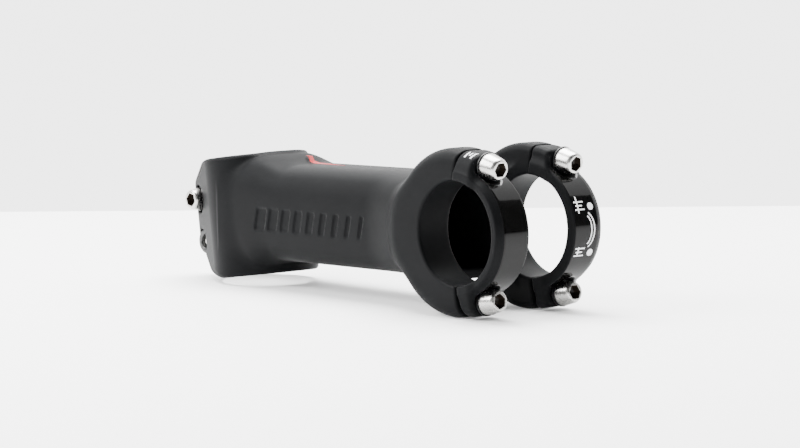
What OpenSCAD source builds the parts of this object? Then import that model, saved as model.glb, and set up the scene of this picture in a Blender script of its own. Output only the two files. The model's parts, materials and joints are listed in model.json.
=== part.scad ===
// Threadless bicycle stem with a split steerer clamp, a hollow extension and a bar clamp made of
// two rings, each closed by its own face clamp and two bolts.
// X points forward to the handlebar, Y runs along the bar with the rider's left at +Y, Z is up.
// The origin is where the steerer's axis meets the extension's centreline. The stem is drawn as it
// lies on a table: on the bottoms of the two rings and on the heel of the steerer clamp. All lengths
// are in millimetres.

/* [Extension] */
// Length from the steerer axis to the bar axis
stem_length = 120; // [90:1:140]
// Angle by which the steerer leans back from square to the extension
stem_angle = 7; // [4:0.5:10]
// Width of the extension at its middle
extension_width = 34; // [32:0.5:36]
// Height of the extension at its middle
extension_height = 32; // [30:0.5:34]
// Wall around the hollow of the extension
extension_wall = 2.7; // [2.5:0.1:3.5]
// How boxy the section is: 2 is an ellipse, more is squarer
section_power = 3.4; // [2.6:0.1:4.5]

/* [Steerer clamp] */
// Diameter of the steerer bore
steerer_d = 28.6; // [28.6]
// Height of the steerer clamp
stack_height = 40; // [39:0.5:42]
// Outer radius of the steerer clamp
collar_r = 17.6; // [17.4:0.1:18.5]
// How far the middle of the collar lies below the centreline of the extension
collar_drop = 2.2; // [1:0.1:3]
// Distance of the pinch bolts behind the steerer axis
pinch_back = 20; // [20:0.1:20.5]
// Distance between the two pinch bolts
pinch_spacing = 14.4; // [13:0.2:16]
// Width of the pinch slit
slit_w = 2.6; // [2:0.1:3]

/* [Bar clamp] */
// Diameter of the bar bore
bar_d = 31.8; // [31.8]
// Width over both rings
clamp_width = 44.1; // [43:0.1:46]
// Width of one ring
ring_w = 12.6; // [12.2:0.1:13]
// Outer radius of the rings at the stem
ring_r = 25.6; // [25.4:0.1:27]
// Outer radius of the face clamps at their lugs
lug_r = 25.1; // [24.9:0.1:25.4]
// Wall of the face clamps at the front
strap_wall = 3.5; // [3.2:0.1:4]
// Gap between a face clamp and the stem at the top, where it is closed first
upper_gap = 0.5; // [0.4:0.1:1.2]
// Gap between a face clamp and the stem at the bottom
lower_gap = 1.6; // [1:0.1:2]
// Angle by which the clamp bolts tilt towards the bar
bolt_tilt = 9; // [8:0.5:10]
// Angle by which the bar clamp's face looks down from square to the extension
clamp_angle = 1.6; // [0:0.1:2]

/* [Bolts] */
// Height of a bolt head
head_h = 5.5; // [5:0.1:6]
// Radius of a bolt head where it meets its washer
head_r = 4; // [3.8:0.1:4.1]
// Width across the flats of the hexagon sockets
key_w = 4; // [4]
// Length of the clamp bolts under the head
clamp_bolt_l = 14; // [12:1:14]
// Length of the pinch bolts under the head
pinch_bolt_l = 16; // [14:1:16]

/* [Hidden] */
$fn = 96;

right = -1;  // side of the rider's right, along Y
left = 1;
top = 1;
bottom = -1;
eps = 0.01;
far = 80;  // longer than any cut needs to be

steerer_r = steerer_d / 2;
bar_r = bar_d / 2;
half_clamp = clamp_width / 2;
gap_half = half_clamp - ring_w;

// Bar clamp, seen from the side with the bar axis at [0, 0]
ring_back = 4;  // how far the stem's ring outline is centred behind the bar axis
ring_low = 0.4;  // how far the outlines of rings and lugs are centred below the bar axis
ring_edge = 5;  // rounding of the rings' outer edges
ring_inner_edge = 2.5;
strap_edge = 1.2;
gap_r = 19.8;  // radius about the bar axis to which the space between the rings is cut
parting_x = -1;  // where the stem's upper parting faces meet the bore
parting_step = 1;  // how much further forward the stem's lower parting faces lie
parting_n = parting_x * cos(bolt_tilt) - bar_r * sin(bolt_tilt);
bolt_offset = 21.4;  // distance of a clamp bolt's line from the bar axis
ring_y = gap_half + ring_w / 2;
washer_t = 0.7;
touch = 0.03;  // clearance left where a bolt, a washer and their seat meet
clamp_under_head = 4.75;  // height of the head's underside along the bolt's line
clamp_seat = clamp_under_head - washer_t - 2 * touch;
pocket_r = 4.6;
washer_r = 4.2;

// Threads are plain cylinders: the bolt is the pitch of the tapped hole, less a running clearance
thread_r = 2.5;
shank_r = 2.45;
clearance_r = 2.8;

// Steerer clamp, in a frame whose Z is the steerer axis
collar_edge = 1.2;
tail_r = 9.4;
tail_back = 19;
tail_top = 12.5;  // heights between which the tail's rear edge stands upright
tail_foot = -4;
tail_slope_x = -12;  // where the slopes above and below the tail reach the collar's ends
pinch_seat = 7.4;  // distance of the washer seats from the mid-plane
pinch_under_head = pinch_seat + washer_t + 2 * touch;
pinch_pocket_r = 4.8;
nut_r = 4.3;
nut_in = 3.4;
nut_out = 8.7;

// Pitch at which the rings and the heel of the steerer clamp reach the same table
function heel_depth(tilt) = (stack_height / 2 + collar_drop - collar_edge) * cos(tilt)
    + (collar_r - collar_edge) * sin(tilt) + collar_edge;
function settled(pitch, turns) = turns == 0 ? pitch
    : settled(asin((ring_r + ring_low - ring_back * sin(clamp_angle - pitch)
        - heel_depth(stem_angle + pitch)) / stem_length), turns - 1);
pitch = settled(0, 6);
bar_x = stem_length * cos(pitch);
bar_z = stem_length * sin(pitch);

function smooth(t) = let (u = min(max(t, 0), 1)) u * u * (3 - 2 * u);
function blend(a, b, t) = a + (b - a) * smooth(t);
function power(v, p) = sign(v) * pow(abs(v), p);

// Extension: a section at each station, widening to the rings and rising to the collar
loft_start = 0;
loft_end = stem_length - 10;
loft_rings = 26;
loft_sides = 36;
flare_start = stem_length - 47;
flare_end = stem_length - 23;
neck_top_start = 12;
neck_top_end = 28;
neck_bottom_start = 14;
neck_bottom_end = 23;
neck_drop = 0.5;  // how far the neck stays below the collar's end faces

function collar_face(s, side) = (stack_height / 2 - side * (collar_drop - s * sin(stem_angle)))
    / cos(stem_angle) - neck_drop;
function upper_half(s) = blend(collar_face(s, top), extension_height / 2,
    (s - neck_top_start) / (neck_top_end - neck_top_start));
function lower_half(s) = blend(collar_face(s, bottom), extension_height / 2,
    (s - neck_bottom_start) / (neck_bottom_end - neck_bottom_start));
function half_width(s) = s < flare_start
    ? blend(collar_r - 0.2, extension_width / 2, s / flare_start * 1.6)
    : blend(extension_width / 2, half_clamp - 0.4, (s - flare_start) / (flare_end - flare_start));
function section(s) = [for (i = [0 : loft_sides - 1])
    let (a = 360 * (i + 0.5) / loft_sides, e = 2 / section_power)
    [s, half_width(s) * power(cos(a), e),
     (sin(a) > 0 ? upper_half(s) : lower_half(s)) * power(sin(a), e)]];

module loft() {
    stations = [for (j = [0 : loft_rings]) loft_start + (loft_end - loft_start) * j / loft_rings];
    points = [for (s = stations) each section(s)];
    walls = [for (j = [0 : loft_rings - 1], i = [0 : loft_sides - 1])
        let (k = (i + 1) % loft_sides, a = j * loft_sides, b = a + loft_sides)
        each [[a + i, b + i, b + k], [a + i, b + k, a + k]]];
    front = [for (i = [0 : loft_sides - 1]) loft_rings * loft_sides + loft_sides - 1 - i];
    rear = [for (i = [0 : loft_sides - 1]) i];
    polyhedron(points, concat(walls, [rear, front]));
}

// Frames
module along_extension() rotate([0, -pitch, 0]) children();
module along_steerer() rotate([0, -pitch - stem_angle, 0]) translate([0, 0, -collar_drop]) children();
module at_bar() translate([bar_x, 0, bar_z]) rotate([0, clamp_angle - pitch, 0]) children();
// Z runs out along a clamp bolt, from the foot of the bar axis on the bolt's line
module at_clamp_bolt(side, level) at_bar() translate([0, side * ring_y, 0])
    rotate([0, 90 + level * bolt_tilt, 0]) translate([-level * bolt_offset, 0, 0]) children();
// Z runs out along a pinch bolt; the upper one enters from the right, the lower from the left
module at_pinch_bolt(level) along_steerer()
    translate([-pinch_back, 0, level * pinch_spacing / 2]) rotate([level * 90, 0, 0]) children();
module bar_cylinder(r, y0, y1) translate([0, y1, 0]) rotate([90, 0, 0]) cylinder(h = y1 - y0, r = r);

// A rectangle whose outer corners are rounded, for turning
module turned_section(r0, r1, h0, h1, edge0, edge1) {
    translate([r0, h0 + edge0]) square([r1 - r0, h1 - h0 - edge0 - edge1]);
    translate([r0, h0]) square([r1 - edge0 - r0, edge0 + eps]);
    translate([r0, h1 - edge1 - eps]) square([r1 - edge1 - r0, edge1 + eps]);
    translate([r1 - edge0, h0 + edge0]) circle(edge0);
    translate([r1 - edge1, h1 - edge1]) circle(edge1);
}

// A ring about the bar axis: inner_edge faces the mid-plane, outer_edge faces outwards
module bar_ring(side, r, inner_edge, outer_edge) mirror([0, side < 0 ? 1 : 0, 0])
    rotate([-90, 0, 0]) rotate_extrude()
    turned_section(0, r, gap_half, half_clamp, inner_edge, outer_edge);

// All that lies behind two faces square to the clamp bolts: the upper one at height n along its bolt,
// the lower one at height n_low
module parting_wedge(n, n_low, y_half) {
    upper = n / cos(bolt_tilt);
    lower = n_low / cos(bolt_tilt);
    run = far * tan(bolt_tilt);
    translate([0, y_half, 0]) rotate([90, 0, 0]) linear_extrude(2 * y_half)
        polygon([[upper, 0], [upper + run, far], [-far, far],
                 [-far, -far], [lower + run, -far], [lower, 0]]);
}

module rounded_bar(x0, x1, w, h, corner) translate([x0, 0, 0]) rotate([90, 0, 90])
    linear_extrude(x1 - x0) union() {
        square([w - 2 * corner, h], center = true);
        square([w, h - 2 * corner], center = true);
        for (y = [-1, 1], z = [-1, 1])
            translate([y * (w / 2 - corner), z * (h / 2 - corner)]) circle(corner);
    }

module collar_and_tail() {
    slope = asin((collar_r - tail_r) / tail_back);
    rotate_extrude() turned_section(0, collar_r, -stack_height / 2, stack_height / 2,
        collar_edge, collar_edge);
    intersection() {
        translate([0, 0, -stack_height / 2]) linear_extrude(stack_height) union() {
            polygon([for (s = [-1, 1], p = s < 0 ? [0, 1] : [1, 0])
                [-p * tail_back - (p == 0 ? collar_r : tail_r) * sin(slope),
                 s * (p == 0 ? collar_r - eps : tail_r) * cos(slope)]]);
            translate([-tail_back, 0]) circle(tail_r);
        }
        translate([0, far / 2, 0]) rotate([90, 0, 0]) linear_extrude(far) polygon([
            [0, stack_height / 2], [tail_slope_x, stack_height / 2], [-tail_back - tail_r, tail_top],
            [-tail_back - tail_r, tail_foot], [tail_slope_x, -stack_height / 2],
            [0, -stack_height / 2]]);
    }
}

module hollow() {
    start = steerer_r + 6;
    narrow = 2 * gap_half - 0.4;
    h = extension_height - 2 * extension_wall;
    rounded_bar(start, stem_length - 12, narrow, h, 5);
    rounded_bar(start, flare_start + 8, extension_width - 2 * extension_wall, h, 6);
}

module clamp_bolt_hole(side, level) at_clamp_bolt(side, level)
    translate([0, 0, clamp_under_head - clamp_bolt_l - 0.6])
    cylinder(h = clamp_bolt_l, r = thread_r);

module pinch_bolt_hole(level) at_pinch_bolt(level) {
    translate([0, 0, -far / 2]) cylinder(h = far, r = clearance_r);
    translate([0, 0, pinch_seat]) cylinder(h = far, r = pinch_pocket_r);
    translate([0, 0, -far]) cylinder(h = far - nut_in, r = nut_r);
}

module stem_body() color("dimgray") difference() {
    union() {
        along_extension() loft();
        along_steerer() collar_and_tail();
        intersection() {
            at_bar() translate([-ring_back, 0, -ring_low]) for (side = [right, left])
                bar_ring(side, ring_r, ring_inner_edge, ring_edge);
            at_bar() parting_wedge(parting_n, parting_n + parting_step, half_clamp + 1);
        }
    }
    along_steerer() translate([0, 0, -far / 2]) cylinder(h = far, r = steerer_r);
    along_steerer() translate([-far, -slit_w / 2, -far / 2]) cube([far, slit_w, far]);
    along_extension() hollow();
    at_bar() bar_cylinder(bar_r, -far / 2, far / 2);
    at_bar() bar_cylinder(gap_r, -gap_half, gap_half);
    for (side = [right, left], level = [bottom, top]) clamp_bolt_hole(side, level);
    for (level = [bottom, top]) pinch_bolt_hole(level);
}

module face_clamp(side) color("black") difference() {
    at_bar() difference() {
        union() {
            bar_ring(side, bar_r + strap_wall, strap_edge, strap_edge);
            intersection() {
                translate([0, 0, -ring_low]) bar_ring(side, lug_r, ring_inner_edge, ring_edge);
                parting_wedge(clamp_seat, clamp_seat, half_clamp + 1);
            }
        }
        parting_wedge(parting_n + upper_gap, parting_n + parting_step + lower_gap, half_clamp + 1);
        bar_cylinder(bar_r, -far / 2, far / 2);
    }
    for (level = [bottom, top]) at_clamp_bolt(side, level) {
        translate([0, 0, -far / 2]) cylinder(h = far, r = clearance_r);
        translate([0, 0, clamp_seat]) cylinder(h = far / 2, r = pocket_r);
    }
}

// A bolt with its head above z = 0 and its shank below
module bolt(l) color("lightgray") difference() {
    union() {
        cylinder(h = head_h, r1 = head_r, r2 = head_r - 0.7);
        translate([0, 0, -l]) cylinder(h = l + eps, r = shank_r);
    }
    translate([0, 0, head_h - 3]) cylinder(h = 4, r = key_w / 2 / cos(30), $fn = 6);
}

module washer() color("gray") difference() {
    cylinder(h = washer_t, r = washer_r);
    translate([0, 0, -1]) cylinder(h = washer_t + 2, r = clearance_r - 0.1);
}

module pinch_nut(level) color("gray") at_pinch_bolt(level) difference() {
    translate([0, 0, -nut_out]) cylinder(h = nut_out - nut_in, r = nut_r - 0.01);
    translate([0, 0, -nut_out - 1]) cylinder(h = nut_out, r = thread_r);
}

module clamp_bolt(side, level) at_clamp_bolt(side, level)
    translate([0, 0, clamp_under_head]) bolt(clamp_bolt_l);
module clamp_washer(side, level) at_clamp_bolt(side, level)
    translate([0, 0, clamp_seat + touch]) washer();
module pinch_bolt(level) at_pinch_bolt(level) translate([0, 0, pinch_under_head]) bolt(pinch_bolt_l);
module pinch_washer(level) at_pinch_bolt(level) translate([0, 0, pinch_seat + touch]) washer();

stem_body();
face_clamp(right);  // face_clamp_right
face_clamp(left);  // face_clamp_left
clamp_bolt(right, top);  // clamp_bolt_right_top
clamp_bolt(right, bottom);  // clamp_bolt_right_bottom
clamp_bolt(left, top);  // clamp_bolt_left_top
clamp_bolt(left, bottom);  // clamp_bolt_left_bottom
clamp_washer(right, top);  // clamp_washer_right_top
clamp_washer(right, bottom);  // clamp_washer_right_bottom
clamp_washer(left, top);  // clamp_washer_left_top
clamp_washer(left, bottom);  // clamp_washer_left_bottom
pinch_bolt(top);  // pinch_bolt_upper
pinch_bolt(bottom);  // pinch_bolt_lower
pinch_washer(top);  // pinch_washer_upper
pinch_washer(bottom);  // pinch_washer_lower
pinch_nut(top);  // pinch_nut_upper
pinch_nut(bottom);  // pinch_nut_lower
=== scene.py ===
"""Looks of a handlebar stem: smooth shells, bolts, washers, inserts, markings, materials, a studio.

Shapes are worked out in millimetres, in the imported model's own frame, and turned into metres when
a mesh is made. X points forward to the handlebar, Y to the rider's left, Z up.
"""

import json
import math

import bmesh
import bpy
import numpy as np
from mathutils import Matrix, Vector


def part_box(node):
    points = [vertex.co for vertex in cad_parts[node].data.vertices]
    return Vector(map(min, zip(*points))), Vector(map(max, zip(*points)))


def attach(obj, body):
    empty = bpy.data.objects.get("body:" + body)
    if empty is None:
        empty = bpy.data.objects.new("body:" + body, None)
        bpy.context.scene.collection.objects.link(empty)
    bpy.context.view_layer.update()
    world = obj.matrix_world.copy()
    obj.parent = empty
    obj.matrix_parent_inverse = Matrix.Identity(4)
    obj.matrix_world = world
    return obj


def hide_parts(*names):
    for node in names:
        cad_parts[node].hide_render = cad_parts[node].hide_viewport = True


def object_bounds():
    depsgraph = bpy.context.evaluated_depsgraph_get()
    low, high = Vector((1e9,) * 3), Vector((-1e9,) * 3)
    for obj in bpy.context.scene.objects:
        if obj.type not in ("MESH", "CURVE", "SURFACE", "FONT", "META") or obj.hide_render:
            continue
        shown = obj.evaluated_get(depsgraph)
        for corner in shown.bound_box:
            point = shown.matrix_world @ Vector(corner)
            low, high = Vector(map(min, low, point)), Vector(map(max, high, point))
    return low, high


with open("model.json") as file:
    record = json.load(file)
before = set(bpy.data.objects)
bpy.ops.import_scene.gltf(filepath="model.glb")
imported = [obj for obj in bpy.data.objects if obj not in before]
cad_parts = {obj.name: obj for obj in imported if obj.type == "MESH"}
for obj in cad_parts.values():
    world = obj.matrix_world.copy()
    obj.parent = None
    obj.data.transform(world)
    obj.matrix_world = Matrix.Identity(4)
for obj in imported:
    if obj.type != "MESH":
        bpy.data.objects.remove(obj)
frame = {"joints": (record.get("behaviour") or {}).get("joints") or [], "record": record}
cad_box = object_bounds()

MM = 0.001
VIEW_AZIMUTH = 48.51  # degrees from the stem's right side towards its front
FLOOR_BACK, WALL_BACK = 0.334, 2.0  # from the bar to the table's far edge and to the wall
WALL_GLOW, FLOOR_GLOW = 3.7, 0.2
RIGHT, LEFT = -1, 1
SIDES = {"right": RIGHT, "left": LEFT}
LEVELS = {"top": 1, "bottom": -1}

# ---------------------------------------------------------------- places, read from the frame

mounts = {m["name"]: m for m in frame["record"]["mounts"]}
joints = {j["name"]: j for j in frame["joints"]}


def mm(point):
    """A point of the record, in millimetres."""
    return np.array(point, float) / MM


class SideFrame:
    """An origin and a forward direction in the XZ plane: all parts of the stem share their Y."""

    def __init__(self, origin, forward):
        self.origin = np.array(origin, float)
        self.forward = np.array((forward[0], 0.0, forward[2])) / math.hypot(forward[0], forward[2])
        self.up = np.array((-self.forward[2], 0.0, self.forward[0]))

    def local(self, p):
        """Distances forward, along Y and up, for points of shape (..., 3)."""
        q = p - self.origin
        return q @ self.forward, q[..., 1], q @ self.up

    def point(self, forward, y, up):
        """The point at those distances."""
        return self.origin + forward * self.forward + np.array((0.0, y, 0.0)) + up * self.up


bar_centre = mm(mounts["bar_clamp"]["pos_m"])
bar_r = mounts["bar_clamp"]["dims"]["r_mm"]
half_clamp = mounts["bar_clamp"]["dims"]["length_mm"] / 2
steerer_r = mounts["steerer_bore"]["dims"]["r_mm"]
half_stack = mounts["steerer_bore"]["dims"]["length_mm"] / 2
steerer_up = np.array(mounts["steerer_bore"]["axis"])
length = float(np.hypot(bar_centre[0], bar_centre[2]))
faces_middle = (mm(mounts["stack_top"]["pos_m"]) + mm(mounts["stack_bottom"]["pos_m"])) / 2
collar_drop = -float(faces_middle @ steerer_up)

extension = SideFrame((0, 0, 0), bar_centre)
steerer = SideFrame(-collar_drop * steerer_up, (steerer_up[2], 0, -steerer_up[0]))
clamp = SideFrame(bar_centre, joints["face_clamp_right_lift"]["axis"])
stem_angle = math.atan2(-steerer_up[0], steerer_up[2]) - math.atan2(bar_centre[2], bar_centre[0])

bolt_axis = joints["clamp_bolt_right_top_turn"]["axis"]
bolt_point = clamp.local(mm(joints["clamp_bolt_right_top_turn"]["pos_m"]))
bolt_tilt = math.acos(float(np.dot(bolt_axis, clamp.forward)))
bolt_offset = math.hypot(bolt_point[0], bolt_point[2])
ring_y = abs(bolt_point[1])
ring_half = half_clamp - ring_y
gap_half = ring_y - ring_half
pinch_point = steerer.local(mm(joints["pinch_bolt_upper_turn"]["pos_m"]))
pinch_back, pinch_up = -pinch_point[0], pinch_point[2]

# ---------------------------------------------------------------- sizes, as the CAD part has them

extension_w, extension_h, extension_wall = 34.0, 32.0, 2.7
section_power = 3.4  # how boxy the extension's section is; 2 would be an ellipse
neck_drop = 0.3
upper_neck_start, upper_neck_run = 11.0, 18.0
lower_neck_start, lower_neck_run = 13.0, 11.0
waist_run = 45.0
flare_start, flare_run = length - 47, 25.0
hollow_start, hollow_end, hollow_wide_end = steerer_r + 6, length - 12, length - 39
collar_r, collar_edge = 17.6, 1.3
tail_r, tail_back = 9.4, 19.0
tail_top, tail_foot, tail_slope = 12.5, -4.0, 12.0
ring_r, ring_back, ring_low, ring_edge = 25.6, 4.0, 0.4, 5.0
lug_r = 25.1
strap_r = bar_r + 3.5
bevel_w, bevel_drop = 2.4, 1.3
gap_r = 19.8
upper_gap, lower_gap, parting_step = 0.5, 1.6, 1.0
parting_n = -math.cos(bolt_tilt) - bar_r * math.sin(bolt_tilt)
clamp_under_head, pinch_under_head = 4.75, 8.16
washer_t = 0.7
clamp_seat = clamp_under_head - washer_t - 0.06
pinch_seat = 7.4
spotface_r, pinch_recess_r = 4.6, 4.8
insert_recess_r, insert_near, insert_far = 4.3, 3.4, 8.7
slit_w = 2.6
mark_depth = 0.4
thread_r, shank_r, clearance_r = 2.5, 2.45, 2.8
head_r, head_h = 4.0, 5.5
clamp_bolt_l, pinch_bolt_l = 14.0, 16.0
key_r = 4.0 / 2 / math.cos(math.pi / 6)

# ---------------------------------------------------------------- distance functions


def smooth(t):
    """Rises from 0 to 1 with t, level at both ends."""
    t = np.clip(t, 0, 1)
    return t * t * (3 - 2 * t)


def blend(a, b, t):
    """Goes from a to b as t goes from 0 to 1."""
    return a + (b - a) * smooth(t)


def join(a, b, k):
    """Union of two solids with a soft fillet about k wide."""
    h = np.maximum(k - np.abs(a - b), 0) / k
    return np.minimum(a, b) - h * h * k / 4


def meet(a, b, k):
    """Intersection of two solids with a softened edge about k wide."""
    return -join(-a, -b, k)


def cut(a, b, k):
    """Solid a without solid b, with a softened edge about k wide."""
    return meet(a, -b, k)


def rounded(a, b, r):
    """Intersection of two solids whose shared edge is rounded to radius r."""
    a, b = a + r, b + r
    return np.hypot(np.maximum(a, 0), np.maximum(b, 0)) + np.minimum(np.maximum(a, b), 0) - r


def extension_solid(p):
    """A boxy section that rises to the collar and widens to the rings."""
    s, y, z = extension.local(p)
    rise = s * math.sin(stem_angle)
    face_top = (half_stack - collar_drop + rise) / math.cos(stem_angle) - neck_drop
    face_bottom = (half_stack + collar_drop - rise) / math.cos(stem_angle) - neck_drop
    upper = blend(face_top, extension_h / 2, (s - upper_neck_start) / upper_neck_run)
    lower = blend(face_bottom, extension_h / 2, (s - lower_neck_start) / lower_neck_run)
    height = np.where(z > 0, upper, lower)
    width = np.where(
        s < flare_start,
        blend(collar_r - 0.2, extension_w / 2, s / waist_run),
        blend(extension_w / 2, half_clamp - 0.3, (s - flare_start) / flare_run),
    )
    q = (np.abs(y / width) ** section_power + np.abs(z / height) ** section_power + 1e-9) ** (
        1 / section_power
    )
    rho = np.hypot(y, z)
    front = length - 9
    return np.maximum(rho - rho / q, np.maximum(-s, s - front))


def collar_solid(p):
    """The upright collar around the steerer, drawn out to the pinch tail behind it."""
    u, y, w = steerer.local(p)
    lean = (collar_r - tail_r) / tail_back
    run = math.sqrt(1 - lean * lean)
    side = np.abs(y) * -lean - u * run
    flank = np.where(
        side < 0,
        np.hypot(u, y) - collar_r,
        np.where(
            side > run * tail_back,
            np.hypot(u + tail_back, y) - tail_r,
            np.abs(y) * run - u * lean - collar_r,
        ),
    )
    tail_end = tail_back + tail_r
    run_x = tail_end - tail_slope
    above = half_stack - tail_top
    below = half_stack + tail_foot
    above = (-(u + tail_end) * above + (w - tail_top) * run_x) / math.hypot(above, run_x)
    below = (-(u + tail_end) * below - (w - tail_foot) * run_x) / math.hypot(below, run_x)
    solid = meet(meet(flank, above, 2.0), below, 2.5)
    edge = collar_edge + 2.2 * smooth(-u / 10) * smooth(-w / 8)
    return rounded(solid, np.abs(w) - half_stack, edge)


def ring_section(p, back, radius, inner_edge, outer_edge):
    """Both rings about the bar axis, as a rounded section turned around a line behind it."""
    u, y, w = clamp.local(p)
    ring = rounded(np.hypot(u + back, w + ring_low) - radius, np.abs(y) - half_clamp, outer_edge)
    return rounded(ring, gap_half - np.abs(y), inner_edge)


def parting(p, n, n_low=None):
    """Negative behind two faces square to the clamp bolts, at heights n and n_low along them."""
    u, _, w = clamp.local(p)
    height = np.where(w > 0, n, n if n_low is None else n_low)
    return u * math.cos(bolt_tilt) - np.abs(w) * math.sin(bolt_tilt) - height


def bar_distance(p):
    """Distance from the bar's axis."""
    u, _, w = clamp.local(p)
    return np.hypot(u, w)


def clamp_bolt_line(p):
    """Distance from the nearest clamp bolt's line, and height along it."""
    u, y, w = clamp.local(p)
    w = np.abs(w)
    n = u * math.cos(bolt_tilt) - w * math.sin(bolt_tilt)
    across = u * math.sin(bolt_tilt) + w * math.cos(bolt_tilt) - bolt_offset
    return np.hypot(across, np.abs(y) - ring_y), n


def hollow_solid(p):
    """The closed space inside the extension, narrower where it reaches between the rings."""
    s, y, z = extension.local(p)

    def chamber(end, half_w, corner):
        box = rounded(np.abs(y) - half_w, np.abs(z) - (extension_h / 2 - extension_wall), corner)
        return rounded(box, np.maximum(hollow_start - s, s - end), 3.0)

    return join(
        chamber(hollow_end, gap_half - 0.2, 5.0),
        chamber(hollow_wide_end, extension_w / 2 - extension_wall, 6.0),
        2.0,
    )


def pinch_cuts(p):
    """Recesses for the two pinch bolts: a head on one side, a pressed insert on the other."""
    u, y, w = steerer.local(p)
    cuts = np.full(u.shape, 1e3)
    for level, head_side in ((1, RIGHT), (-1, LEFT)):
        r = np.hypot(u + pinch_back, w - level * pinch_up)
        out = y * head_side
        cuts = np.minimum(cuts, r - clearance_r)
        cuts = np.minimum(cuts, rounded(r - pinch_recess_r, pinch_seat - out, 0.3))
        cuts = np.minimum(cuts, rounded(r - insert_recess_r, insert_near + out, 0.3))
    return cuts


BAR_COUNT, BAR_FIRST, BAR_STEP, BAR_H, BAR_SLANT = 9, 21.5, 6.2, 7.0, 0.24
BAR_DROP, BAR_HALF, BAR_SHRINK = 1.5, 2.35, 0.2


def bar_pattern(s, z):
    """A row of slanted bars on the extension's flank, each narrower than the one behind it."""
    d = np.full(s.shape, 1e3)
    for i in range(BAR_COUNT):
        half = BAR_HALF - BAR_SHRINK * i
        centre = BAR_FIRST + BAR_STEP * i
        across = np.abs(s - centre - (z + BAR_DROP) * BAR_SLANT) - half
        d = np.minimum(d, rounded(across, np.abs(z + BAR_DROP) - BAR_H / 2, 0.4))
    return d


def outer_solid(p):
    """The stem body's outside, before anything is cut into it."""
    shell = join(extension_solid(p), collar_solid(p), 1.5)
    rings = ring_section(p, ring_back, ring_r, 2.5, ring_edge)
    rings = np.maximum(rings, parting(p, parting_n + 3))
    return meet(join(shell, rings, 5.0), np.abs(p[..., 1]) - half_clamp, 0.8)


def stem_solid(p):
    """The whole stem body, with its bores, slit, parting faces, bolt holes and recessed marks."""
    body = outer_solid(p)
    s, y, z = extension.local(p)
    middle = 10  # no marks this near to the middle plane
    marks = np.maximum(bar_pattern(s, z), np.maximum(-(body + mark_depth), middle - np.abs(y)))
    body = cut(body, marks, 0.12)
    body = cut(body, hollow_solid(p), 1.0)
    gap = rounded(np.abs(y) - gap_half, bar_distance(p) - gap_r, 4.0)
    body = cut(body, gap, 0.8)
    body = cut(body, bar_distance(p) - bar_r, 0.7)
    u, y, w = steerer.local(p)
    body = cut(body, np.hypot(u, y) - steerer_r, 0.8)
    body = cut(body, np.maximum(np.abs(y) - slit_w / 2, u), 0.4)
    body = meet(body, parting(p, parting_n, parting_n + parting_step), 0.6)
    r, n = clamp_bolt_line(p)
    hole_end = clamp_under_head - clamp_bolt_l - 0.6
    body = cut(body, np.maximum(r - thread_r, hole_end - n), 0.3)
    return cut(body, pinch_cuts(p), 0.35)


def face_clamp_solid(p):
    """One C-shaped clamp: a thin strap with a bevelled band, and two lugs that take the bolts."""
    u, y, w = clamp.local(p)
    side = np.abs(y)
    rho = np.hypot(u, w)
    strap = rounded(rho - strap_r, side - half_clamp, 0.3)
    bevel = (rho - strap_r + bevel_drop) * bevel_w + (side - half_clamp) * bevel_drop
    bevel /= math.hypot(bevel_w, bevel_drop)
    strap = meet(strap, bevel, 0.25)
    strap = rounded(strap, gap_half - side, 0.5)
    lug = ring_section(p, 0.0, lug_r, 2.0, ring_edge)
    lug = meet(lug, parting(p, clamp_seat), 1.6)
    solid = join(strap, lug, 3.2)
    solid = cut(solid, rho - bar_r, 0.5)
    faces = parting(p, parting_n + upper_gap, parting_n + parting_step + lower_gap)
    solid = meet(solid, -faces, 0.6)
    r, n = clamp_bolt_line(p)
    solid = cut(solid, np.maximum(r - spotface_r, clamp_seat - n), 0.35)
    return cut(solid, r - clearance_r, 0.3)


# ---------------------------------------------------------------- meshing of distance functions

CORNERS = np.array([(i, j, k) for i in (0, 1) for j in (0, 1) for k in (0, 1)])
EDGES = [
    (a, b) for a in range(8) for b in range(a + 1, 8) if abs(CORNERS[a] - CORNERS[b]).sum() == 1
]


def grid_values(solid, low, counts, step):
    """The function's values on a grid, worked out a slab at a time."""
    axes = [low[i] + step * np.arange(counts[i]) for i in range(3)]
    values = np.empty(counts, np.float32)
    yz = np.stack(np.meshgrid(axes[1], axes[2], indexing="ij"), -1)
    slab = 16
    for start in range(0, counts[0], slab):
        xs = axes[0][start : start + slab]
        points = np.empty((len(xs),) + yz.shape[:2] + (3,))
        points[..., 0] = xs[:, None, None]
        points[..., 1:] = yz[None]
        values[start : start + slab] = solid(points)
    return values


def gradient(solid, points, h=0.02):
    """The function's gradient at the points, by central differences."""
    g = np.empty_like(points)
    for i in range(3):
        step = np.zeros(3)
        step[i] = h
        g[:, i] = (solid(points + step) - solid(points - step)) / (2 * h)
    return g


def onto_surface(solid, points, reach, rounds=4):
    """Moves points to the surface along the gradient, each no further than reach in all."""
    start = points.copy()
    for _ in range(rounds):
        g = gradient(solid, points)
        size = np.maximum((g * g).sum(1), 1e-4)
        points = points - (solid(points) / size)[:, None] * g
        away = points - start
        far = np.linalg.norm(away, axis=1)
        limit = np.minimum(1.0, reach / np.maximum(far, 1e-9))
        points = start + away * limit[:, None]
    return points


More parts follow.
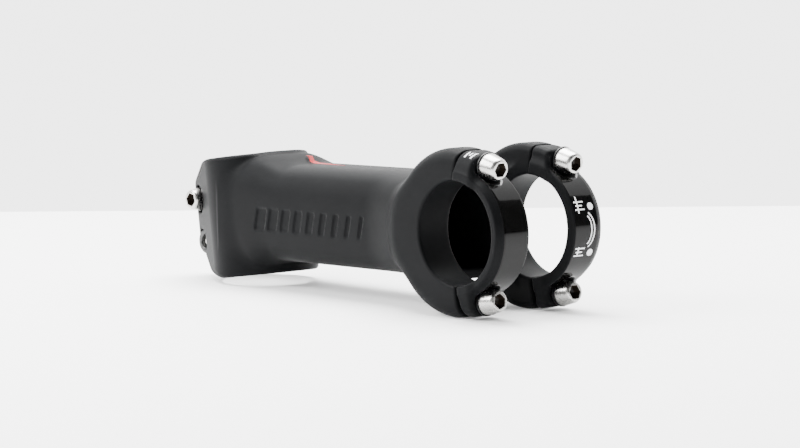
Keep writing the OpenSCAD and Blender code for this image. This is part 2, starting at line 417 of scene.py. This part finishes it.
def surface(solid, low, high, step):
    """Vertices and quads of the solid's surface, one vertex to each grid cell that it crosses."""
    low = np.array(low, float)
    counts = tuple(int(c) for c in np.ceil((np.array(high) - low) / step) + 1)
    values = grid_values(solid, low, counts, step)
    inside = values < 0
    mixed = np.zeros(tuple(c - 1 for c in counts), bool)
    first = inside[:-1, :-1, :-1]
    for corner in CORNERS[1:]:
        mixed |= inside[tuple(slice(c, n - 1 + c) for c, n in zip(corner, counts))] != first
    cells = np.argwhere(mixed)
    number = np.full(mixed.shape, -1, np.int64)
    number[tuple(cells.T)] = np.arange(len(cells))
    at = np.stack([values[tuple((cells + c).T)] for c in CORNERS], 1).astype(float)
    total = np.zeros((len(cells), 3))
    hits = np.zeros(len(cells))
    for a, b in EDGES:
        crossed = (at[:, a] < 0) != (at[:, b] < 0)
        t = np.where(crossed, at[:, a] / np.where(crossed, at[:, a] - at[:, b], 1), 0)
        spot = CORNERS[a] + t[:, None] * (CORNERS[b] - CORNERS[a])
        total += np.where(crossed[:, None], spot, 0)
        hits += crossed
    vertices = low + step * (cells + total / hits[:, None])
    quads = []
    for axis in range(3):
        a, b = [(1, 2), (2, 0), (0, 1)][axis]
        lower = [slice(None)] * 3
        upper = [slice(None)] * 3
        lower[axis], upper[axis] = slice(None, -1), slice(1, None)
        now, after = inside[tuple(lower)], inside[tuple(upper)]
        for sign, edges in ((1, np.argwhere(now & ~after)), (-1, np.argwhere(~now & after))):
            edges = edges[(edges[:, a] > 0) & (edges[:, b] > 0)]
            ring = []
            for da, db in ((-1, -1), (0, -1), (0, 0), (-1, 0))[::sign]:
                cell = edges.copy()
                cell[:, a] += da
                cell[:, b] += db
                ring.append(number[tuple(cell.T)])
            quads.append(np.stack(ring, 1))
    return vertices, np.concatenate(quads)


# ---------------------------------------------------------------- meshes


def mesh_object(name, vertices, faces, materials, flat=False):
    """An object in metres from vertices in millimetres."""
    mesh = bpy.data.meshes.new(name)
    if isinstance(faces, np.ndarray):
        mesh.vertices.add(len(vertices))
        mesh.vertices.foreach_set("co", (np.asarray(vertices) * MM).astype(np.float32).ravel())
        mesh.loops.add(faces.size)
        mesh.loops.foreach_set("vertex_index", faces.astype(np.int32).ravel())
        mesh.polygons.add(len(faces))
        starts = np.arange(0, faces.size, faces.shape[1], dtype=np.int32)
        mesh.polygons.foreach_set("loop_start", starts)
        mesh.update(calc_edges=True)
    else:
        mesh.from_pydata([tuple(v) for v in np.asarray(vertices) * MM], [], faces)
    mesh.validate()
    mesh.polygons.foreach_set("use_smooth", np.full(len(mesh.polygons), not flat))
    for material in materials:
        mesh.materials.append(material)
    obj = bpy.data.objects.new(name, mesh)
    bpy.context.scene.collection.objects.link(obj)
    return obj


def finish_piece(obj, body, slot, *nodes):
    """Hides the nodes that the piece replaces and hangs it on the body that it rides on; the slot
    argument is not used.
    """
    if nodes:
        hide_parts(*nodes)
    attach(obj, body)
    return obj


# ---------------------------------------------------------------- materials


class Nodes:
    """A small helper for writing a node material."""

    def __init__(self, name):
        self.material = bpy.data.materials.new(name)
        self.material.use_nodes = True
        self.tree = self.material.node_tree
        self.tree.nodes.clear()
        self.output = self.add("ShaderNodeOutputMaterial")
        self.shader = self.add("ShaderNodeBsdfPrincipled")
        self.link(self.shader, "BSDF", self.output, "Surface")
        self.coordinates = self.add("ShaderNodeTexCoord")

    def add(self, kind, **values):
        node = self.tree.nodes.new(kind)
        for key, value in values.items():
            setattr(node, key, value)
        return node

    def link(self, a, out, b, into):
        self.tree.links.new(a.outputs[out], b.inputs[into])

    def set(self, **values):
        for key, value in values.items():
            self.shader.inputs[key.replace("_", " ")].default_value = value

    def noise(self, scale, detail, rough):
        node = self.add("ShaderNodeTexNoise")
        node.inputs["Scale"].default_value = scale
        node.inputs["Detail"].default_value = detail
        node.inputs["Roughness"].default_value = rough
        self.link(self.coordinates, "Object", node, "Vector")
        return node

    def ramp(self, source, out, stops):
        node = self.add("ShaderNodeValToRGB")
        while len(node.color_ramp.elements) < len(stops):
            node.color_ramp.elements.new(0.5)
        for element, (place, colour) in zip(node.color_ramp.elements, stops):
            element.position = place
            element.color = colour
        self.link(source, out, node, "Fac")
        return node

    def bump(self, source, out, strength, distance):
        node = self.add("ShaderNodeBump")
        node.inputs["Strength"].default_value = strength
        node.inputs["Distance"].default_value = distance
        self.link(source, out, node, "Height")
        return node


def grey(v, tint=(1, 1, 1)):
    """A grey of that value, slightly tinted."""
    return (v * tint[0], v * tint[1], v * tint[2], 1)


def blasted_black():
    """Bead-blasted aluminium under a matte black anodised coat."""
    n = Nodes("blasted_black")
    cool = (0.94, 1.0, 1.10)
    cloud = n.noise(60, 3, 0.55)
    shade = n.ramp(cloud, "Fac", [(0.3, grey(0.0032, cool)), (0.7, grey(0.0041, cool))])
    n.link(shade, "Color", n.shader, "Base Color")
    grain = n.noise(5200, 2, 0.6)
    rough = n.ramp(grain, "Fac", [(0.3, grey(0.44)), (0.7, grey(0.54))])
    n.link(rough, "Color", n.shader, "Roughness")
    dents = n.noise(3600, 2, 0.7)
    bump = n.bump(dents, "Fac", 0.22, 0.00004)
    n.link(bump, "Normal", n.shader, "Normal")
    n.set(Specular_IOR_Level=0.04)
    return n.material


def gloss_black():
    """Polished black band: a clear coat over black, with the faintest orange peel."""
    n = Nodes("gloss_black")
    cloud = n.noise(180, 2, 0.5)
    shade = n.ramp(cloud, "Fac", [(0.35, grey(0.002)), (0.65, grey(0.003))])
    n.link(shade, "Color", n.shader, "Base Color")
    rough = n.ramp(n.noise(900, 3, 0.6), "Fac", [(0.3, grey(0.05)), (0.8, grey(0.10))])
    n.link(rough, "Color", n.shader, "Roughness")
    peel = n.bump(n.noise(420, 1, 0.4), "Fac", 0.05, 0.0001)
    n.link(peel, "Normal", n.shader, "Normal")
    n.set(Coat_Weight=0.07, Coat_Roughness=0.03, Specular_IOR_Level=0.08)
    return n.material


def polished_steel():
    """Bright stainless steel with fine turning lines and handling marks."""
    n = Nodes("polished_steel")
    warm = (1.0, 0.985, 0.955)
    cloud = n.noise(500, 3, 0.6)
    shade = n.ramp(cloud, "Fac", [(0.3, grey(0.40, warm)), (0.7, grey(0.47, warm))])
    n.link(shade, "Color", n.shader, "Base Color")
    rough = n.ramp(n.noise(1500, 3, 0.6), "Fac", [(0.3, grey(0.24)), (0.75, grey(0.34))])
    n.link(rough, "Color", n.shader, "Roughness")
    lines = n.bump(n.noise(2600, 2, 0.6), "Fac", 0.10, 0.00003)
    n.link(lines, "Normal", n.shader, "Normal")
    n.set(Metallic=1.0)
    return n.material


def socket_painted_shade():
    """Painted shade inside the hexagon sockets: the steel there is coloured near black, a little
    uneven, to stand for the shade in the recess.
    """
    n = Nodes("socket_painted_shade")
    deep_shade, soft_shade = (0.004, 0.003, 0.002, 1), (0.03, 0.02, 0.014, 1)
    shade = n.ramp(n.noise(1500, 3, 0.6), "Fac", [(0.3, deep_shade), (0.8, soft_shade)])
    n.link(shade, "Color", n.shader, "Base Color")
    rough = n.ramp(n.noise(1100, 2, 0.5), "Fac", [(0.3, grey(0.35)), (0.7, grey(0.55))])
    n.link(rough, "Color", n.shader, "Roughness")
    bump = n.bump(n.noise(2400, 2, 0.6), "Fac", 0.12, 0.00003)
    n.link(bump, "Normal", n.shader, "Normal")
    n.set(Specular_IOR_Level=0.25)
    return n.material


def dark_steel():
    """Blackened steel of the washers, rubbed lighter in places."""
    n = Nodes("dark_steel")
    rub = n.noise(900, 4, 0.65)
    shade = n.ramp(rub, "Fac", [(0.35, grey(0.010)), (0.75, grey(0.03))])
    n.link(shade, "Color", n.shader, "Base Color")
    rough = n.ramp(rub, "Fac", [(0.3, grey(0.30)), (0.8, grey(0.46))])
    n.link(rough, "Color", n.shader, "Roughness")
    bump = n.bump(n.noise(3000, 2, 0.6), "Fac", 0.12, 0.00003)
    n.link(bump, "Normal", n.shader, "Normal")
    n.set(Metallic=0.9)
    return n.material


def steel_with_painted_shade():
    """Turned steel of the pressed inserts, coloured near black as painted shade of the recesses
    that they sit in.
    """
    n = Nodes("steel_with_painted_shade")
    cloud = n.noise(700, 3, 0.6)
    shade = n.ramp(cloud, "Fac", [(0.3, grey(0.04)), (0.7, grey(0.07))])
    n.link(shade, "Color", n.shader, "Base Color")
    rough = n.ramp(n.noise(1800, 3, 0.6), "Fac", [(0.3, grey(0.26)), (0.75, grey(0.38))])
    n.link(rough, "Color", n.shader, "Roughness")
    bump = n.bump(n.noise(2600, 2, 0.6), "Fac", 0.12, 0.00003)
    n.link(bump, "Normal", n.shader, "Normal")
    n.set(Metallic=1.0)
    return n.material


def ink(name, low, high):
    """Screen-printed ink with slight unevenness."""
    n = Nodes(name)
    shade = n.ramp(n.noise(2500, 3, 0.6), "Fac", [(0.3, low), (0.7, high)])
    n.link(shade, "Color", n.shader, "Base Color")
    rough = n.ramp(n.noise(3000, 2, 0.5), "Fac", [(0.3, grey(0.42)), (0.7, grey(0.55))])
    n.link(rough, "Color", n.shader, "Roughness")
    bump = n.bump(n.noise(5000, 2, 0.6), "Fac", 0.1, 0.00002)
    n.link(bump, "Normal", n.shader, "Normal")
    n.set(Specular_IOR_Level=0.12)
    return n.material


def glowing_paint(name, value, glow):
    """Pale studio paint that is lit evenly from behind, so that it stays light in the shade."""
    n = Nodes(name)
    shade = n.ramp(n.noise(30, 2, 0.5), "Fac", [(0.3, grey(value)), (0.7, grey(value * 1.01))])
    n.link(shade, "Color", n.shader, "Base Color")
    n.set(Roughness=0.8, Specular_IOR_Level=0.2)
    n.set(Emission_Color=(1, 1, 1, 1), Emission_Strength=glow)
    return n.material


BLACK = blasted_black()
GLOSS = gloss_black()
STEEL = polished_steel()
# painted shade for the inside of the hexagon sockets
SOCKET_SHADE = socket_painted_shade()
DARK = dark_steel()
# the inserts' steel is darkened to near black: painted shade of their recesses
INSERT_SHADED_STEEL = steel_with_painted_shade()
RED_INK = ink("red_ink", (0.24, 0.003, 0.005, 1), (0.29, 0.004, 0.006, 1))
WHITE_INK = ink("white_ink", (0.74, 0.75, 0.76, 1), (0.84, 0.85, 0.86, 1))

# ---------------------------------------------------------------- shells


def stem_shell():
    """The stem body's shell."""
    step = 0.55
    low = np.array(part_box("stem_body")[0]) / MM - 2
    high = np.array(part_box("stem_body")[1]) / MM + 2
    vertices, quads = surface(stem_solid, low, high, step)
    vertices = onto_surface(stem_solid, vertices, 0.8 * step)
    obj = mesh_object("stem_body_shell", vertices, quads, [BLACK])
    return finish_piece(obj, "root", "body", "stem_body")


def face_clamp_shell(side_name, side):
    """One face clamp's shell, matte but for the glossy band around its front."""
    node = "face_clamp_" + side_name
    step = 0.32
    low = np.array(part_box(node)[0]) / MM - 1.3
    high = np.array(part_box(node)[1]) / MM + 1.3

    def solid(p):
        return np.maximum(face_clamp_solid(p), -p[..., 1] * side)

    vertices, quads = surface(solid, low, high, step)
    vertices = onto_surface(solid, vertices, 0.8 * step)
    obj = mesh_object(node + "_shell", vertices, quads, [BLACK, GLOSS])
    centres = vertices[quads].mean(1)
    u, y, w = clamp.local(centres)
    gloss = (
        (np.hypot(u, w) > strap_r - 0.12)
        & (np.abs(y) > gap_half + 0.45)
        & (np.abs(y) < half_clamp - bevel_w)
        & (parting(centres, clamp_seat) > 1.2)
    )
    obj.data.polygons.foreach_set("material_index", gloss.astype(np.int32))
    return finish_piece(obj, node, "face_clamp", node)


# ---------------------------------------------------------------- turned pieces


def axis_frame(point, axis):
    """Origin and three unit vectors, the last along the axis."""
    z = np.array(axis, float) / np.linalg.norm(axis)
    x = np.cross((0.0, 1.0, 0.0) if abs(z[1]) < 0.9 else (1.0, 0.0, 0.0), z)
    x /= np.linalg.norm(x)
    return np.array(point, float), x, np.cross(z, x), z


def placed(points, at, lift=0.0):
    """Local points (x, y, z) put into an axis frame, raised along its axis."""
    origin, x, y, z = at
    points = np.asarray(points)
    return origin + points[:, :1] * x + points[:, 1:2] * y + (points[:, 2:] + lift) * z


def rings_to_faces(rows, count, closed):
    """Quads between rows of count vertices each; closed joins the last row to the first."""
    faces = []
    for j in range(rows if closed else rows - 1):
        a, b = j * count, (j + 1) % rows * count
        for i in range(count):
            k = (i + 1) % count
            faces.append((a + i, a + k, b + k, b + i))
    return faces


def rounded_profile(corners, steps=3):
    """A closed profile of (radius, height, rounding) corners with each corner turned as an arc."""
    points = []
    for i, (r, z, edge) in enumerate(corners):
        here = np.array((r, z))
        before = np.array(corners[i - 1][:2]) - here
        after = np.array(corners[(i + 1) % len(corners)][:2]) - here
        if edge <= 0:
            points.append(tuple(here))
            continue
        a = here + before / np.linalg.norm(before) * edge
        b = here + after / np.linalg.norm(after) * edge
        for k in range(steps + 1):
            t = k / steps
            points.append(tuple((1 - t) ** 2 * a + 2 * t * (1 - t) * here + t * t * b))
    return points


def hexagon_radius(angle, corner_r):
    """Distance from the centre to a hexagon's side in that direction."""
    sixth = math.pi / 3
    turned = (angle % sixth) - sixth / 2
    return corner_r * math.cos(math.pi / 6) / math.cos(turned)


def bolt_mesh(shank_l):
    """A bolt whose head stands on z = 0: a tapered head, a hexagon socket and a threaded shank."""
    count = 48
    angles = [2 * math.pi * i / count for i in range(count)]
    rows = []

    def ring(radius, z, hexagon=False):
        for_angle = (lambda a: hexagon_radius(a, radius)) if hexagon else (lambda a: radius)
        rows.append([(for_angle(a) * math.cos(a), for_angle(a) * math.sin(a), z) for a in angles])

    pitch, thread_depth = 0.8, 0.42
    per_turn = 6
    tip_taper = 1.2
    steps = int(shank_l / pitch * per_turn)
    ring(0.05, -shank_l)
    ring(shank_r - 1.0, -shank_l)
    for i in range(steps + 1):
        z = -shank_l + 0.15 + (shank_l - 0.75) * i / steps
        row = []
        for a in angles:
            phase = (z / pitch - a / (2 * math.pi)) % 1
            groove = thread_depth * (1 - abs(2 * phase - 1)) ** 0.8
            fade = min(1.0, (-0.6 - z) / 0.8)
            taper = max(0.0, 1 - (z + shank_l) / tip_taper) * 0.55
            r = shank_r - 0.02 - groove * max(fade, 0) - taper
            row.append((r * math.cos(a), r * math.sin(a), z))
        rows.append(row)
    ring(shank_r - 0.02, -0.45)
    ring(shank_r + 0.12, -0.001)
    ring(head_r - 0.35, 0.0)
    ring(head_r - 0.1, 0.07)
    ring(head_r, 0.3)
    ring(head_r, 0.75)
    ring(head_r - 0.10, 1.3)
    ring(head_r - 0.42, 3.4)
    ring(head_r - 0.62, head_h - 1.0)
    ring(head_r - 0.72, head_h - 0.62)
    ring(head_r - 0.98, head_h - 0.2)
    ring(head_r - 1.18, head_h - 0.03)
    ring(head_r - 1.35, head_h)
    ring(key_r + 0.14, head_h, True)
    ring(key_r + 0.02, head_h - 0.12, True)
    ring(key_r, head_h - 0.35, True)
    ring(key_r, head_h - 2.6, True)
    ring(key_r - 0.1, head_h - 2.75, True)
    ring(key_r * 0.55, head_h - 3.2)
    ring(0.05, head_h - 3.7)
    vertices = [v for row in rows for v in row]
    faces = rings_to_faces(len(rows), count, False)
    last = (len(rows) - 1) * count
    faces.append(tuple(reversed(range(count))))
    faces.append(tuple(range(last, last + count)))
    return np.array(vertices), faces


def turned_mesh(profile, count=64):
    """A closed profile turned about Z."""
    vertices = [
        (r * math.cos(2 * math.pi * i / count), r * math.sin(2 * math.pi * i / count), z)
        for r, z in profile
        for i in range(count)
    ]
    return np.array(vertices), rings_to_faces(len(profile), count, True)


def crease(obj, angle=40):
    """Smooth shading that breaks at edges sharper than the angle."""
    mesh = obj.data
    bm = bmesh.new()
    bm.from_mesh(mesh)
    bmesh.ops.recalc_face_normals(bm, faces=bm.faces)
    limit = math.radians(angle)
    for edge in bm.edges:
        if len(edge.link_faces) == 2 and edge.calc_face_angle(0) > limit:
            edge.smooth = False
    bm.to_mesh(mesh)
    bm.free()
    return obj


def add_bolt(node, joint_name, under_head, shank_l, turn):
    """A bolt on its joint's axis, with its socket turned to that angle and painted with shade
    inside.
    """
    joint = joints[joint_name]
    at = axis_frame(mm(joint["pos_m"]), joint["axis"])
    vertices, faces = bolt_mesh(shank_l)
    c, s = math.cos(turn), math.sin(turn)
    vertices = vertices @ np.array(((c, s, 0), (-s, c, 0), (0, 0, 1)))
    obj = mesh_object(node + "_detail", placed(vertices, at, under_head), faces, [STEEL, SOCKET_SHADE])
    # faces inside the hexagon socket get the near-black painted shade material
    for face in obj.data.polygons:
        spots = vertices[list(face.vertices)]
        in_head = spots[:, 2].min() > 1 and spots[:, 2].max() < head_h - 0.05
        in_key = np.hypot(spots[:, 0], spots[:, 1]).max() < key_r + 0.05
        face.material_index = int(in_head and in_key)
    crease(obj, 32)
    return finish_piece(obj, node, "bolt", node)


def add_washer(node, joint_name, seat):
    """A bevelled washer on its seat."""
    joint = joints[joint_name]
    at = axis_frame(mm(joint["pos_m"]), joint["axis"])
    outer, inner, t = 4.2, clearance_r - 0.1, washer_t
    profile = rounded_profile(
        [(inner, 0, 0.12), (outer, 0, 0.15), (outer, t, 0.22), (inner, t, 0.12)]
    )
    vertices, faces = turned_mesh(profile)
    obj = mesh_object(node + "_detail", placed(vertices, at, seat + 0.03), faces, [DARK])
    crease(obj, 50)
    return finish_piece(obj, node, "washer", node)


def add_insert(level_name):
    """The pressed steel insert that the pinch bolt screws into, flush in its recess."""
    node = "pinch_nut_" + level_name
    joint = joints["pinch_bolt_%s_turn" % level_name]
    at = axis_frame(mm(joint["pos_m"]), -np.array(joint["axis"]))
    inner, outer, near, far = thread_r, insert_recess_r - 0.03, insert_near, insert_far
    profile = rounded_profile(
        [(inner, near, 0.2), (outer, near, 0.3), (outer, far, 0.5), (inner, far, 0.45)]
    )
    vertices, faces = turned_mesh(profile)
    # the insert's steel carries painted shade of its recess
    obj = mesh_object(node + "_detail", placed(vertices, at), faces, [INSERT_SHADED_STEEL])
    crease(obj, 50)
    return finish_piece(obj, "root", "nut", node)


# ---------------------------------------------------------------- markings


def printed(name, body, material, solid, points, faces):
    """A thin closed layer of ink laid on a solid, near whose surface the points are."""
    sunk, thick = 0.03, 0.05
    base = onto_surface(solid, np.array(points, float), 3.0)
    normal = gradient(solid, base)
    normal /= np.linalg.norm(normal, axis=1)[:, None]
    count = len(base)
    vertices = np.concatenate([base - normal * sunk, base + normal * thick])
    all_faces = [tuple(reversed(f)) for f in faces] + [tuple(i + count for i in f) for f in faces]
    edges = {(a, b): True for f in faces for a, b in zip(f, f[1:] + f[:1])}
    for a, b in edges:
        if (b, a) not in edges:
            all_faces.append((a, b, b + count, a + count))
    obj = mesh_object(name, vertices, all_faces, [material])
    crease(obj, 60)
    return finish_piece(obj, body, None)


def ribbon(path, widths, to_point, steps=10):
    """Points and quads of a band that follows a path in a surface's own two measures."""
    path = np.array(path, float)
    widths = np.array(widths, float)
    at = np.linspace(0, len(path) - 1, (len(path) - 1) * steps + 1)
    line = np.stack([np.interp(at, range(len(path)), path[:, i]) for i in (0, 1)], 1)
    half = np.interp(at, range(len(path)), widths) / 2
    along = np.gradient(line, axis=0)
    along /= np.linalg.norm(along, axis=1)[:, None]
    across = np.stack([-along[:, 1], along[:, 0]], 1)
    lanes = 4
    points = []
    for i in range(len(line)):
        for j in range(lanes + 1):
            a, b = line[i] + across[i] * half[i] * (2 * j / lanes - 1)
            points.append(to_point(a, b))
    row = lanes + 1
    quads = [
        (i * row + j, (i + 1) * row + j, (i + 1) * row + j + 1, i * row + j + 1)
        for i in range(len(line) - 1)
        for j in range(lanes)
    ]
    return points, quads


def disc(centre, r, to_point, count=20):
    """Points and faces of a round spot."""
    points = [to_point(*centre)]
    for reach in (r * 0.5, r):
        for i in range(count):
            angle = 2 * math.pi * i / count
            a, b = reach * math.cos(angle), reach * math.sin(angle)
            points.append(to_point(centre[0] + a, centre[1] + b))
    faces = []
    for i in range(count):
        k = (i + 1) % count
        faces.append((0, 1 + i, 1 + k))
        faces.append((1 + i, 1 + count + i, 1 + count + k, 1 + k))
    return points, faces


def outward(faces, points, away):
    """The same faces, all turned so that their normals point along away."""
    a, b, c = (np.array(points[i]) for i in faces[0][:3])
    if np.dot(np.cross(b - a, c - a), away) < 0:
        return [tuple(reversed(f)) for f in faces]
    return faces


def band_marks():
    """A graduated alignment scale on the left face clamp's front band."""
    node = "face_clamp_left"
    middle = gap_half + 5.1
    base, fine, bold = -2.6, 0.42, 0.45  # the scale's base line, and its two line widths

    def to_point(height, across):
        angle = height / strap_r
        return clamp.point(strap_r * math.cos(angle), middle + across, strap_r * math.sin(angle))

    def arc(tall, wide, margin):
        turns = np.linspace(margin, math.pi - margin, 9)
        path = [(tall * math.cos(t), wide * math.sin(t)) for t in turns]
        return ribbon(path, [fine] * len(path), to_point, 4)

    def line(start, end, width):
        return ribbon([start, end], [width, width], to_point)

    marks = [arc(5.6, 3.4, 0.35), arc(4.5, 2.2, 0.3)]
    marks += [line((start, base), (end, base), bold) for start, end in ((5.2, 10.6), (-5.2, -8.2))]
    long, short = 2.6, 1.8
    ticks = ((6.4, long), (7.6, short), (8.8, long), (-5.6, long), (-6.8, short), (-8.0, long))
    for height, reach in ticks:
        marks.append(line((height, base - reach / 2), (height, base + reach), fine))
    marks += [disc((height, 2.6), 1.15, to_point) for height in (7.2, -7.2)]
    for i, (points, faces) in enumerate(marks):
        faces = outward(faces, points, clamp.forward)
        printed("scale_mark_%02d" % i, node, WHITE_INK, face_clamp_solid, points, faces)


def lug_marks():
    """Three ticks on the shoulder of the right face clamp's upper lug, beside its parting line."""

    def to_point(forward, across):
        return clamp.point(forward, -ring_y - 1.5 - across, lug_r - 1.5)

    for i, reach in enumerate((4.0, 2.6, 4.0)):
        forward = 3.0 + 1.2 * i
        points, faces = ribbon([(forward, 0.0), (forward, reach)], [0.5, 0.5], to_point)
        faces = outward(faces, points, clamp.up)
        printed("lug_tick_%d" % i, "face_clamp_right", WHITE_INK, face_clamp_solid, points, faces)


def red_stripe():
    """A tapered red stripe that runs off the neck along the top of the extension."""

    def to_point(s, y):
        near_neck = s < 25
        return extension.point(s, y, 1 + (half_stack if near_neck else extension_h / 2))

    path = [(22.5, 2.7), (26, 2.1), (31, 1.3), (37, 0.4), (45, -0.6)]
    widths = [0.4, 2.4, 3.0, 1.8, 0.3]
    points, faces = ribbon(path, widths, to_point, 12)
    faces = outward(faces, points, extension.up)
    printed("red_stripe", "root", RED_INK, outer_solid, points, faces)


# ---------------------------------------------------------------- studio


def area_light(name, place, target, size, power):
    """A white panel light, in metres and watts, that faces its target."""
    data = bpy.data.lights.new(name, "AREA")
    data.shape = "RECTANGLE"
    data.size, data.size_y = size
    data.energy = power
    obj = bpy.data.objects.new(name, data)
    obj.location = place
    obj.rotation_euler = (Vector(target) - Vector(place)).to_track_quat("-Z", "Y").to_euler()
    bpy.context.scene.collection.objects.link(obj)


def stage_plane(name, corners, glow):
    """A four-cornered sheet of glowing paint, in metres, that isn't part of the stem."""
    paint = glowing_paint(name + "_paint", 0.85, glow)
    obj = mesh_object(name, np.array(corners) / MM, [(0, 1, 2, 3)], [paint], flat=True)


def studio():
    """A pale table, a bright wall far behind it, a soft key from the left, a dim room in front."""
    floor_z = float(cad_box[0][2])
    floor_half, wall_half, wall_height, wall_drop = 2.5, 15.0, 11.2, 4.0
    azimuth = math.radians(VIEW_AZIMUTH)
    away = np.array((-math.sin(azimuth), math.cos(azimuth), 0.0))
    across = np.array((math.cos(azimuth), math.sin(azimuth), 0.0))
    centre = bar_centre * MM * (1, 1, 0)
    edge = centre + away * FLOOR_BACK + np.array((0, 0, floor_z))
    foot = centre + away * WALL_BACK + np.array((0, 0, floor_z - wall_drop))
    floor_corners = [
        edge + across * floor_half * i - away * 2 * floor_half * j
        for i, j in ((1, 0), (-1, 0), (-1, 1), (1, 1))
    ]
    wall_corners = [
        foot + across * wall_half * i + np.array((0, 0, wall_height * j))
        for i, j in ((-1, 0), (1, 0), (1, 1), (-1, 1))
    ]
    stage_plane("floor", floor_corners, FLOOR_GLOW)
    stage_plane("wall", wall_corners, WALL_GLOW)
    target = centre * 0.5
    key = target - across * 0.75 - away * 0.15 + np.array((0, 0, 0.55))
    area_light("key", key, target, (0.5, 0.6), 22)
    top = target + away * 0.25 + np.array((0, 0, 0.9))
    area_light("top", top, target, (0.9, 0.6), 54)
    front = target - away * 0.9 - across * 0.35 + np.array((0, 0, 0.45))
    area_light("fill", front, target, (0.8, 0.5), 0.8)
    world = bpy.data.worlds.new("studio")
    world.use_nodes = True
    background = world.node_tree.nodes["Background"]
    background.inputs["Color"].default_value = (1, 1, 1, 1)
    background.inputs["Strength"].default_value = 0.05
    bpy.context.scene.world = world


def camera():
    """The view: a long lens from in front on the right, a little above the stem."""
    azimuth, elevation, roll = (math.radians(v) for v in (VIEW_AZIMUTH, 6.38, 0.08))
    level = np.array((math.sin(azimuth), -math.cos(azimuth), 0.0))
    back = math.cos(elevation) * level + math.sin(elevation) * np.array((0.0, 0.0, 1.0))
    across = np.cross((0.0, 0.0, 1.0), back)
    across /= np.linalg.norm(across)
    up = np.cross(back, across)
    across, up = (
        math.cos(roll) * across + math.sin(roll) * up,
        math.cos(roll) * up - math.sin(roll) * across,
    )
    from_bar = -32.64 * across + 1.28 * up + 866.4 * back

    def turned(v):
        """From the clamp's own forward, left and up to the model's axes."""
        return v[0] * clamp.forward + v[1] * np.array((0.0, 1.0, 0.0)) + v[2] * clamp.up

    data = bpy.data.cameras.new("camera")
    data.sensor_width = 36.0
    data.lens = 128.4
    data.clip_end = 20
    obj = bpy.data.objects.new("camera", data)
    basis = Matrix([turned(across), turned(up), turned(back)]).transposed()
    obj.matrix_world = Matrix.Translation((bar_centre + turned(from_bar)) * MM) @ basis.to_4x4()
    bpy.context.scene.collection.objects.link(obj)
    bpy.context.scene.camera = obj


# ---------------------------------------------------------------- the scene

stem_shell()
for side_name, side in SIDES.items():
    face_clamp_shell(side_name, side)
    for level_name, level in LEVELS.items():
        tag = "%s_%s" % (side_name, level_name)
        joint_name = "clamp_bolt_%s_turn" % tag
        turn = 0.35 * side + 0.9 * level
        add_bolt("clamp_bolt_" + tag, joint_name, clamp_under_head, clamp_bolt_l, turn)
        add_washer("clamp_washer_" + tag, joint_name, clamp_seat)
for level_name in ("upper", "lower"):
    joint_name = "pinch_bolt_%s_turn" % level_name
    add_bolt("pinch_bolt_" + level_name, joint_name, pinch_under_head, pinch_bolt_l, 0.3)
    add_washer("pinch_washer_" + level_name, joint_name, pinch_seat)
    add_insert(level_name)
band_marks()
lug_marks()
red_stripe()
studio()
camera()
